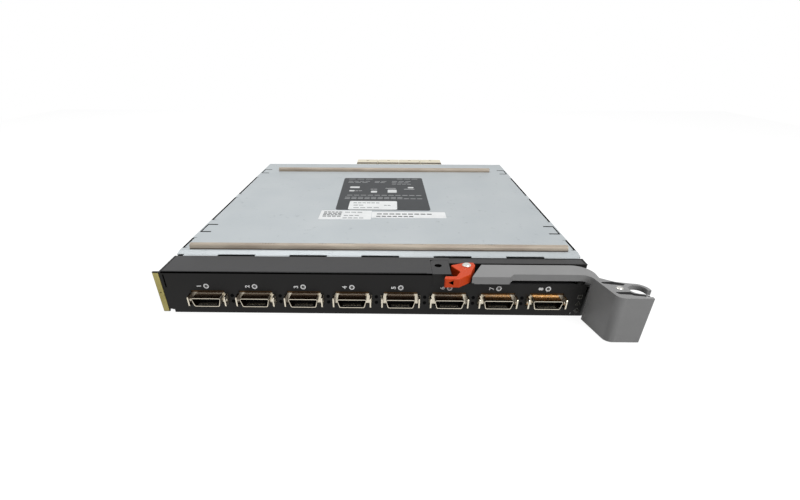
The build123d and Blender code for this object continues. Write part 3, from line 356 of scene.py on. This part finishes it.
# Polyester label, printed: satin charcoal with pale and bright marks
label_film = printed_film("charcoal_polyester_label", "#46484a", 0.6, Specular_IOR_Level=0.2)
label_print = printed_film("pale_label_print", "#a3a6a7", 0.5)
label_bright = printed_film("bright_label_print", "#e4e6e6", 0.5)
# Coated paper stickers: clean matt white with grey and dark thermal print
white_paper = printed_film("white_paper_label", "#fafcfc", 0.6)
grey_print = printed_film("grey_label_print", "#83888b", 0.6)
dark_print = printed_film("dark_label_print", "#55595c", 0.6)
# Screen-printed ink on the faceplate: opaque white, and a faint grey beside the status lights
white_ink = printed_film("white_screen_print", "#ffffff", 0.5)
grey_ink = printed_film("grey_screen_print", "#6c6b66", 0.5)
# Flat matt black: painted shade in the gaps, so that notches, slits and seams look open, and the latch's
# printed arrow
black_shade_and_print = moulded("flat_black_painted_shade_and_print", "#020202", 1.0, 0.8, Specular_IOR_Level=0.0)
# Painted shade: flat dark plates on the lever's block where its hollows are
hollow_shade = printed_film("painted_hollow_shade", "#2c2c2d", 0.8, Specular_IOR_Level=0.1)
# Flat brown gasket adhesive: a dark copy with painted shade, and a pale copy with painted light
shade_and_glue_brown = printed_film("brown_glue_and_painted_shade", "#3a2d25", 0.7)
lit_glue_and_marks = printed_film("pale_glue_painted_light_and_marks", "#8d7d69", 0.7)
# Worn plating on the gasket's threads: flat and paler than the cloth
gasket_print = printed_film("pale_gasket_scuff", "#d8cdbd", 0.6)
# Painted shade: plain black lines along the nose's edges, without the painted sheen of its top
edge_shade_black = printed_film("painted_edge_shade_black", "#0b0b0b", 0.5, Specular_IOR_Level=0.2)

FINISHES = {
    "base_tray": steel, "top_cover": steel, "front_housing": black_paint, "lever_bracket": black_paint,
    "front_gasket": tan_cloth, "rear_gasket": tan_cloth, "end_gasket": gold_cloth,
    "port_contacts": gilt, "port_screws": black_oxide, "cover_screws": zinc_screw,
    "light_pipes": lens, "status_light_guide": lens, "status_board": board_green, "main_board": board_green,
    "board_standoffs": brass, "board_screws": zinc_screw, "insulator_sheet": film,
    "switch_chip": package, "thermal_pad": pad_rubber, "heat_sink": sink_metal,
    "heat_sink_screws": zinc_screw, "management_processor": package, "memory_chips": package,
    "power_modules": package, "capacitors": tantalum, "inductors": ferrite,
    "guide_socket_left": die_cast, "guide_socket_right": die_cast,
    "ejector_lever": grey_paint, "pivot_pin": rivet_steel, "lever_screw": rivet_steel,
    "latch": latch_plastic, "latch_rivet": rivet_steel, "latch_spring": spring_wire,
}
FINISHES |= {f"port_shell_{number}": nickel for number in PORT_NUMBERS}
FINISHES |= {f"port_insert_{number}": insert_plastic for number in PORT_NUMBERS}
FINISHES |= {f"rear_socket_{number}": cream_plastic for number in SOCKETS}
FINISHES |= {f"socket_neck_{number}": insert_plastic for number in SOCKETS}

# Edge breaks of the CAD pieces, in millimetres, on edges sharper than an angle in degrees
EDGES = {
    "ejector_lever": 0.5, "latch": 0.25, "front_housing": 0.3, "lever_bracket": 0.3,
    "front_gasket": 0.5, "rear_gasket": 0.5, "end_gasket": 0.15, "top_cover": 0.12, "base_tray": 0.12,
}
EDGES |= {f"port_shell_{number}": 0.12 for number in PORT_NUMBERS}
EDGES |= {f"rear_socket_{number}": 0.3 for number in SOCKETS}
SHARP = 40
WELD_REACH = 0.002

for node, finish in FINISHES.items():
    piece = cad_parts[node]
    for part_slot in piece.material_slots:
        part_slot.material = finish
    if node in EDGES:
        weld = piece.modifiers.new("weld", "WELD")
        weld.merge_threshold = WELD_REACH * MM
        edge = piece.modifiers.new("edge_break", "BEVEL")
        edge.width = EDGES[node] * MM
        edge.segments = 2
        edge.limit_method = "ANGLE"
        edge.angle_limit = radians(SHARP)

# Thickness of print
INK = 0.02

# Planes to print or stick on: the cover, and the faceplate, whose second axis is height
UPRIGHT = Matrix.Rotation(radians(90), 4, "X")
ON_COVER = Matrix.Translation((0, FACE_Y, COVER_TOP))
ON_FACE = Matrix.Translation((0, FACE_Y, 0)) @ UPRIGHT


def keep(name, shape, finish, body="chassis"):
    """Turns a bmesh in millimetres into a piece that rides on a body."""
    bmesh.ops.recalc_face_normals(shape, faces=shape.faces)
    bmesh.ops.scale(shape, vec=(MM, MM, MM), verts=shape.verts)
    mesh = bpy.data.meshes.new(name)
    shape.to_mesh(mesh)
    shape.free()
    mesh.materials.append(finish)
    piece = bpy.data.objects.new(name, mesh)
    bpy.context.scene.collection.objects.link(piece)
    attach(piece, body)


def rectangle(left, right, low, high):
    """Corners of a rectangle in a plane."""
    return [(left, low), (right, low), (right, high), (left, high)]


def rounded(corners, radius):
    """An outline with its corners rounded by short curves."""
    ring = []
    for index, corner in enumerate(corners):
        point = Vector(corner)
        before = point + (Vector(corners[index - 1]) - point).normalized() * radius
        after = point + (Vector(corners[(index + 1) % len(corners)]) - point).normalized() * radius
        for step in (0, 0.25, 0.5, 0.75, 1):
            ring.append(before * (1 - step) ** 2 + point * 2 * step * (1 - step) + after * step ** 2)
    return ring


def slab(name, outlines, low, high, where, finish, body="chassis"):
    """Plates of these outlines, between two levels over a plane, as one piece."""
    shape = bmesh.new()
    for outline in outlines:
        floor_ring = [shape.verts.new(where @ Vector((u, v, low))) for u, v in outline]
        face = shape.faces.new(floor_ring)
        lifted = bmesh.ops.extrude_face_region(shape, geom=[face])
        raised = [item for item in lifted["geom"] if isinstance(item, bmesh.types.BMVert)]
        bmesh.ops.translate(shape, verts=raised, vec=where.to_3x3() @ Vector((0, 0, high - low)))
    keep(name, shape, finish, body)


def rings(name, centres, inner, outer, finish, sides=40, turn=0.0):
    """Flat rings or frames with this many sides, printed on the faceplate as one piece."""
    shape = bmesh.new()
    angles = [tau * step / sides + radians(turn) for step in range(sides)]
    for u, v in centres:
        levels = []
        for radius, level in ((outer, 0), (outer, INK), (inner, INK), (inner, 0)):
            corners = [Vector((u + radius * cos(a), v + radius * sin(a), level)) for a in angles]
            levels.append([shape.verts.new(ON_FACE @ corner) for corner in corners])
        for first, second in zip(levels, levels[1:] + levels[:1]):
            for step in range(sides):
                after = (step + 1) % sides
                shape.faces.new((first[step], first[after], second[after], second[step]))
    keep(name, shape, finish)


# Share of each step in a printed row that its dash fills
DASH_SHARE = 0.78


def strips(rows, height):
    """Thin printed bars, each a row of dashes from left to right at a depth."""
    bars = []
    for left, right, depth, words in rows:
        step = (right - left) / words
        for word in range(words):
            start = left + word * step
            bars.append(rectangle(start, start + step * DASH_SHARE, depth - height / 2, depth + height / 2))
    return bars


# Rating label with pale ruled bars, and the white label on it
LABEL_THICK = 0.12
PAPER_THICK = 0.1
LABEL_CORNERS = ((-38.4, 116.6), (41.8, 115.6), (40.0, 219.6), (-40.3, 218.6))
label_print_top = LABEL_THICK + INK
sticker_top = LABEL_THICK + PAPER_THICK
paper_print_top = PAPER_THICK + INK
slab("data_label", [rounded(LABEL_CORNERS, radius=3)], 0, LABEL_THICK, ON_COVER, label_film)
slab("data_label_small_print", strips((
    (-35.7, -9.0, 214.4, 3), (14.0, 37.0, 215.2, 3), (-35.0, -12.2, 206.0, 4), (-35.0, -14.0, 201.8, 3),
    (-8.4, 4.7, 205.5, 2), (-8.4, 3.0, 201.5, 2), (9.0, 29.4, 206.0, 3), (9.0, 27.0, 201.0, 3),
    (9.0, 29.0, 196.0, 4), (-32.4, 37.7, 158.2, 11), (-33.6, 37.8, 148.0, 12), (-33.6, 20.0, 151.8, 9),
), height=1.4), LABEL_THICK, label_print_top, ON_COVER, label_print)
slab("data_label_blocks", [
    rounded(rectangle(*place), radius=1.2) for place in (
        (-31.7, -22.4, 181.5, 187.0), (-31.6, -26.5, 170.3, 174.3), (-10.8, -5.0, 166.5, 172.5),
        (5.0, 13.6, 166.5, 176.5), (24.5, 30.0, 181.5, 186.0),
    )
], LABEL_THICK, label_print_top, ON_COVER, label_bright)
slab("data_label_rules", strips((
    (-25.6, -18.8, 172.2, 2), (-11.4, -4.6, 178.0, 2), (2.8, 15.6, 181.0, 1), (20.5, 33.5, 178.5, 1),
), height=1.0), LABEL_THICK, label_print_top, ON_COVER, label_bright)
slab("data_label_sticker", [rounded(rectangle(-28.0, 13.7, 117.2, 140.4), radius=2)],
     LABEL_THICK, sticker_top, ON_COVER, white_paper)
slab("sticker_print", strips((
    (-24.6, -1.0, 135.1, 6), (-24.1, -14.5, 128.6, 2), (-23.6, -0.7, 122.0, 4), (2.3, 8.7, 128.4, 2),
), height=1.6), sticker_top, sticker_top + INK, ON_COVER, grey_print)

# Two white stickers in front of the label, bare but for ruled bars
slab("inventory_sticker", [rounded(rectangle(-49.6, -7.4, 93.2, 114.8), radius=1)],
     0, PAPER_THICK, ON_COVER, white_paper)
slab("inventory_print", strips((
    (-29.5, -14.2, 110.3, 3), (-29.9, -16.7, 102.3, 3), (-30.4, -12.6, 96.4, 4),
), height=1.5), PAPER_THICK, paper_print_top, ON_COVER, grey_print)
slab("inventory_block", strips((
    (-47.0, -31.4, 110.6, 5), (-47.0, -31.4, 107.2, 4), (-47.0, -31.4, 103.8, 5), (-47.0, -31.4, 100.4, 4),
), height=2.0), PAPER_THICK, paper_print_top, ON_COVER, dark_print)
slab("tag_strip", [rounded(rectangle(-7.2, 53.2, 97.3, 111.8), radius=1)],
     0, PAPER_THICK, ON_COVER, white_paper)
slab("tag_print", strips(((-3.0, 43.0, 106.4, 9), (-3.4, 27.6, 100.6, 7)), height=2.2),
     PAPER_THICK, paper_print_top, ON_COVER, dark_print)

# Painted shade: flat black sheets in the notches of the cover's front edge, and in the part notches at its
# corners
NOTCH_SHADE_GAP = 0.05
NOTCH_SHADE_DEPTH = 1.0
NOTCH_SHADE_SUNK = 0.25
NOTCH_FRONT = 24.0
NOTCH_BACK = 26.6
NOTCH_START = 1.8
NOTCH_PITCH = 47.8
NOTCH_HALF = 12.5
CORNER_NOTCHES = [(-133.0, -129.1), (132.7, 133.0)]
notch_middles = [NOTCH_START + NOTCH_PITCH * step for step in range(-2, 3)]
notches = [(middle - NOTCH_HALF, middle + NOTCH_HALF) for middle in notch_middles] + CORNER_NOTCHES
slab("notch_painted_shade", [
    rectangle(left + NOTCH_SHADE_GAP, right - NOTCH_SHADE_GAP, NOTCH_FRONT + NOTCH_SHADE_GAP, NOTCH_BACK - NOTCH_SHADE_GAP)
    for left, right in notches
], NOSE_TOP - NOTCH_SHADE_DEPTH - COVER_TOP, NOSE_TOP - NOTCH_SHADE_SUNK - COVER_TOP, ON_COVER, black_shade_and_print)

# Painted shade in the slits round the cover's spring tabs, dark as their gaps
SLIT = 1.0
SLIT_SHADE = 0.85
SLIT_INNER = 9.0
SLIT_OUTER = 2.0
TAB_DEPTHS = (72.5, 246.0)
TAB_HALF = 7.5
slit_start = HALF_WIDTH - SLIT_INNER
slit_end = HALF_WIDTH - SLIT_OUTER
slits = []
for depth in TAB_DEPTHS:
    for side in (-1, 1):
        for cut in (depth - TAB_HALF, depth + TAB_HALF):
            left, right = sorted((side * slit_start, side * slit_end))
            slits.append(rectangle(left, right, cut - SLIT_SHADE, cut + SLIT_SHADE))
        left, right = sorted((side * slit_end, side * (slit_end + SLIT)))
        slits.append(rectangle(left, right, depth - TAB_HALF - SLIT_SHADE, depth + TAB_HALF + SLIT_SHADE))
slab("slit_painted_shade", slits, 0.0, INK, ON_COVER, black_shade_and_print)

# Painted shade on the tray's wall tops: black strips along the seams at both sides of the cover, dark as the
# gaps there
SEAM_SPANS = ((35.3, 53.2), (90.3, 149.7), (160.3, 220.7))
SEAM_WIDTH = 0.95
SEAM_GAP = 0.02
SEAM_LIFT = 0.01
SEAM_SUNK = 0.1
slab("seam_painted_shade", [
    rectangle(*sorted((side * (HALF_WIDTH - SEAM_GAP), side * (HALF_WIDTH - SEAM_WIDTH))), *span)
    for side in (-1, 1) for span in SEAM_SPANS
], WALL_TOP - COVER_TOP + SEAM_LIFT, -SEAM_SUNK, ON_COVER, black_shade_and_print)

# Adhesive strip along the foot of each gasket, with painted shade at the front one and painted light at the
# rear one
GLUE_OUT = 0.35
GLUE_IN = 0.3
GLUE_HIGH = 0.45
for name, low, glue in (
    ("front_gasket_adhesive", GASKET_FRONT, shade_and_glue_brown),
    ("rear_gasket_adhesive", GASKET_REAR, lit_glue_and_marks),
):
    foot = low.y - FACE_Y
    slab(name, [rectangle(low.x, -low.x, foot - GLUE_OUT, foot + GLUE_IN)], 0, GLUE_HIGH, ON_COVER, glue)

# Painted shade along the nose's edges, as dark lines round the top face: left, front, behind the lever, right
EDGE_THICK = 0.05
EDGE_LINE = 1.1
LEFT_REACH = 0.2
LEFT_FRONT = 1.2
FRONT_LINE = (0.9, 1.6)
FRONT_END = 31.0
BACK_LINE = (22.6, 23.9)
BACK_START = 47.0
RIGHT_LINE = 1.2
RIGHT_REACH = 0.3
RIGHT_FRONT = 14.5
left_inner = -HALF_WIDTH + EDGE_LINE - LEFT_REACH
right_inner = HALF_WIDTH - RIGHT_LINE
nose_level = NOSE_TOP - COVER_TOP
slab("nose_edge_shade_lines", [
    rectangle(-HALF_WIDTH - LEFT_REACH, left_inner, LEFT_FRONT, BACK_LINE[1]),
    rectangle(left_inner, FRONT_END, *FRONT_LINE),
    rectangle(BACK_START, right_inner, *BACK_LINE),
    rectangle(right_inner, HALF_WIDTH + RIGHT_REACH, RIGHT_FRONT, BACK_LINE[1]),
], nose_level, nose_level + EDGE_THICK, ON_COVER, edge_shade_black)

# Pale scuffs on the front gasket's crown
SCUFF_SPANS = (
    (-79.5, -70.0), (-39.0, -35.0), (-24.5, -14.0), (11.5, 25.0), (28.5, 33.5), (60.5, 69.5), (73.0, 80.0),
)
SCUFF_PITCH = 1.9
SCUFF_LENGTH = 1.1
SCUFF_FRONT = 0.7
SCUFF_BACK = 0.3
SCUFF_THICK = 0.1
crown = GASKET_CROWN.z - COVER_TOP
crown_middle = (GASKET_FRONT.y + GASKET_CROWN.y) / 2 - FACE_Y
scuff_span = (crown_middle - SCUFF_FRONT, crown_middle + SCUFF_BACK)
scuffs = []
for left, right in SCUFF_SPANS:
    for step in range(int((right - left) / SCUFF_PITCH)):
        start = left + SCUFF_PITCH * step
        scuffs.append(rectangle(start, start + SCUFF_LENGTH, *scuff_span))
slab("gasket_scuffs", scuffs, crown - SCUFF_THICK, crown, ON_COVER, gasket_print)

# Painted shade along the front edges of the rear sockets' tops, and small marks on the tops
SHADE_SIDE = 0.2
SHADE_FRONT = 0.4
SHADE_BACK = 6.0
MARK_HALF = 1.6
MARK_FRONT = 16
MARK_BACK = 17.5
socket_top = SOCKETS[1][1].z - COVER_TOP
shades = []
marks = []
for low, high in SOCKETS.values():
    front = low.y - FACE_Y
    middle = (low.x + high.x) / 2
    left, right = low.x + SHADE_SIDE, high.x - SHADE_SIDE
    shades.append(rectangle(left, right, front + SHADE_FRONT, front + SHADE_BACK))
    marks.append(rectangle(middle - MARK_HALF, middle + MARK_HALF, front + MARK_FRONT, front + MARK_BACK))
slab("socket_front_edges", shades, socket_top, socket_top + EDGE_THICK, ON_COVER, shade_and_glue_brown)
slab("socket_marks", marks, socket_top, socket_top + EDGE_THICK, ON_COVER, lit_glue_and_marks)

# White rings round the port lights, with the port numbers turned on their side
RING_INNER = 1.0
RING_OUTER = 1.7
NUMBER_SHIFT = 4.4
NUMBER_SIZE = 3.8
NUMBER_BOLD = 0.12
rings("port_light_rings", [(x, LIGHT_Z) for x in PORTS.values()], RING_INNER, RING_OUTER, white_ink)
for number, x in PORTS.items():
    text = bpy.data.curves.new(f"port_number_{number}", "FONT")
    text.body = str(number)
    text.size = NUMBER_SIZE * MM
    text.extrude = INK * MM
    text.offset = NUMBER_BOLD * MM
    text.align_x = "CENTER"
    text.align_y = "CENTER"
    text.materials.append(white_ink)
    figure = bpy.data.objects.new(f"port_number_{number}", text)
    bpy.context.scene.collection.objects.link(figure)
    spot = ON_FACE @ Vector((x - NUMBER_SHIFT, LIGHT_Z, INK))
    figure.matrix_world = Matrix.Translation(spot * MM) @ (UPRIGHT @ Matrix.Rotation(radians(90), 4, "Z"))
    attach(figure, "chassis")

# Faint frames round the status lights, each with its height, number of sides and turn in degrees, and the
# small white dot beside them
STATUS_FRAMES = ((3.9, 4, 0), (9.0, 3, 90), (13.9, 4, 45))
FRAME_INNER = STATUS_LENS + 0.45
FRAME_OUTER = STATUS_LENS + 0.8
DOT_PLACE = (STATUS_X - 3.5, 1.9)
DOT_INNER = 0.05
DOT_OUTER = 0.4
for height, sides, turn in STATUS_FRAMES:
    name = f"status_frame_{sides}_{turn}"
    rings(name, [(STATUS_X, height)], FRAME_INNER, FRAME_OUTER, grey_ink, sides, turn)
rings("index_dot", [DOT_PLACE], DOT_INNER, DOT_OUTER, white_ink)

# Arrow printed over its recess in the latch's press face
ARROW_X = 44.9
ARROW_HALF = 1.55
ARROW_RISE = 0.3
arrow_z = (LATCH_LOW.z + LATCH_HIGH.z) / 2 + ARROW_RISE
arrow_level = FACE_Y - LATCH_LOW.y
slab("latch_arrow", [[
    (ARROW_X - ARROW_HALF, arrow_z), (ARROW_X + ARROW_HALF, arrow_z - ARROW_HALF),
    (ARROW_X + ARROW_HALF, arrow_z + ARROW_HALF),
]], arrow_level, arrow_level + INK, ON_FACE, black_shade_and_print, "latch")

# Painted shade of the lever block's hollows: thin dark plates on its top, beside its jaws
HOLLOWS = (
    ((131.9, -10.2), (139.0, -9.4), (145.3, -12.3), (143.4, -13.9), (136.9, -13.0), (133.0, -11.4)),
    ((135.4, -22.0), (143.8, -21.8), (145.0, -23.4), (152.6, -26.0), (152.3, -27.3), (144.2, -26.0),
     (142.4, -24.4), (137.4, -24.6), (136.0, -23.6)),
)
lever_level = LEVER_TOP - COVER_TOP
slab("lever_hollow_shade", HOLLOWS, lever_level, lever_level + INK, ON_COVER, hollow_shade, "lever")

# Floor: white to the camera and in reflections, pale to the light, and it keeps the shadow
FLOOR_HALF = 0.9
FLOOR_DROP = 0.0002
FLOOR_GLOW = 1.49
GLOW_SHARE = 0.62
floor_mesh = bmesh.new()
bmesh.ops.create_grid(floor_mesh, x_segments=1, y_segments=1, size=FLOOR_HALF)
floor_data = bpy.data.meshes.new("floor")
floor_mesh.to_mesh(floor_data)
floor_mesh.free()
floor = bpy.data.objects.new("floor", floor_data)
bpy.context.scene.collection.objects.link(floor)
floor.location.z = -FLOOR_DROP
floor_paint = bpy.data.materials.new("pale_floor_paint")
floor_paint.use_nodes = True
floor_tree = floor_paint.node_tree
floor_tree.nodes.clear()
plain = add(floor_tree, "BsdfDiffuse", Color=linear("#b4b4b4"))
glow = add(floor_tree, "Emission", Strength=FLOOR_GLOW)
path = add(floor_tree, "LightPath")
seen = add(floor_tree, "Math", {0: path.outputs["Is Camera Ray"], 1: path.outputs["Is Glossy Ray"]},
           operation="MAXIMUM")
share = add(floor_tree, "Math", {0: seen.outputs["Value"], 1: GLOW_SHARE}, operation="MULTIPLY")
blend = add(floor_tree, "MixShader", {
    0: share.outputs["Value"], 1: plain.outputs["BSDF"], 2: glow.outputs["Emission"],
})
add(floor_tree, "OutputMaterial", {"Surface": blend.outputs["Shader"]})
floor_data.materials.append(floor_paint)

# World: white to the camera, bright in reflections, and a low fill elsewhere
FILL = 0.12
REFLECTED = 0.8
world = bpy.data.worlds.new("studio")
bpy.context.scene.world = world
world.use_nodes = True
sky = world.node_tree
sky.nodes.clear()
rays = add(sky, "LightPath")
clear_view = add(sky, "Math", {0: rays.outputs["Is Camera Ray"], 1: rays.outputs["Is Transmission Ray"]},
                 operation="MAXIMUM")
mirrored = add(sky, "MapRange", {"Value": rays.outputs["Is Glossy Ray"]}, To_Min=FILL, To_Max=REFLECTED)
strength = add(sky, "Math", {0: clear_view.outputs["Value"], 1: mirrored.outputs["Result"]},
               operation="MAXIMUM")
backdrop = add(sky, "Background", {"Strength": strength.outputs["Value"]}, Color=(1, 1, 1, 1))
add(sky, "OutputWorld", {"Surface": backdrop.outputs["Background"]})


def lamp(name, place_m, target_m, size_m, watts):
    """A soft square lamp aimed at a point."""
    data = bpy.data.lights.new(name, "AREA")
    data.size = size_m
    data.energy = watts
    light = bpy.data.objects.new(name, data)
    light.location = place_m
    light.rotation_euler = (Vector(target_m) - Vector(place_m)).to_track_quat("-Z", "Y").to_euler()
    bpy.context.scene.collection.objects.link(light)


lamp("key_lamp", (0.5, -0.75, 0.8), (0.05, -0.1, 0.0), size_m=0.5, watts=7.2)
lamp("top_lamp", (-0.25, 0.3, 1.1), (0.0, 0.0, 0.0), size_m=0.8, watts=7.0)

# Camera solved from the photograph: lens and centre in its pixels, angles in degrees, eye in millimetres
FOCAL_PX = 425.6
CENTRE_PX = (385.3, 315.0)
SENSOR_MM = 36.0
YAW, PITCH, ROLL = 0.922, -32.259, -0.052
EYE = Vector((9.4, FACE_Y - 233.4, 146.5))
NEAREST = 0.01
camera_data = bpy.data.cameras.new("camera")
camera_data.sensor_width = SENSOR_MM
camera_data.lens = FOCAL_PX / PHOTO_WIDTH * SENSOR_MM
camera_data.shift_x = (PHOTO_WIDTH / 2 - CENTRE_PX[0]) / PHOTO_WIDTH
camera_data.shift_y = (CENTRE_PX[1] - PHOTO_HEIGHT / 2) / PHOTO_WIDTH
camera_data.clip_start = NEAREST
camera = bpy.data.objects.new("camera", camera_data)
bpy.context.scene.collection.objects.link(camera)
aim = Matrix.Rotation(radians(YAW), 4, "Z") @ Matrix.Rotation(radians(90 + PITCH), 4, "X")
camera.matrix_world = Matrix.Translation(EYE * MM) @ aim @ Matrix.Rotation(radians(-ROLL), 4, "Z")
bpy.context.scene.camera = camera
bpy.context.scene.view_settings.view_transform = "Standard"
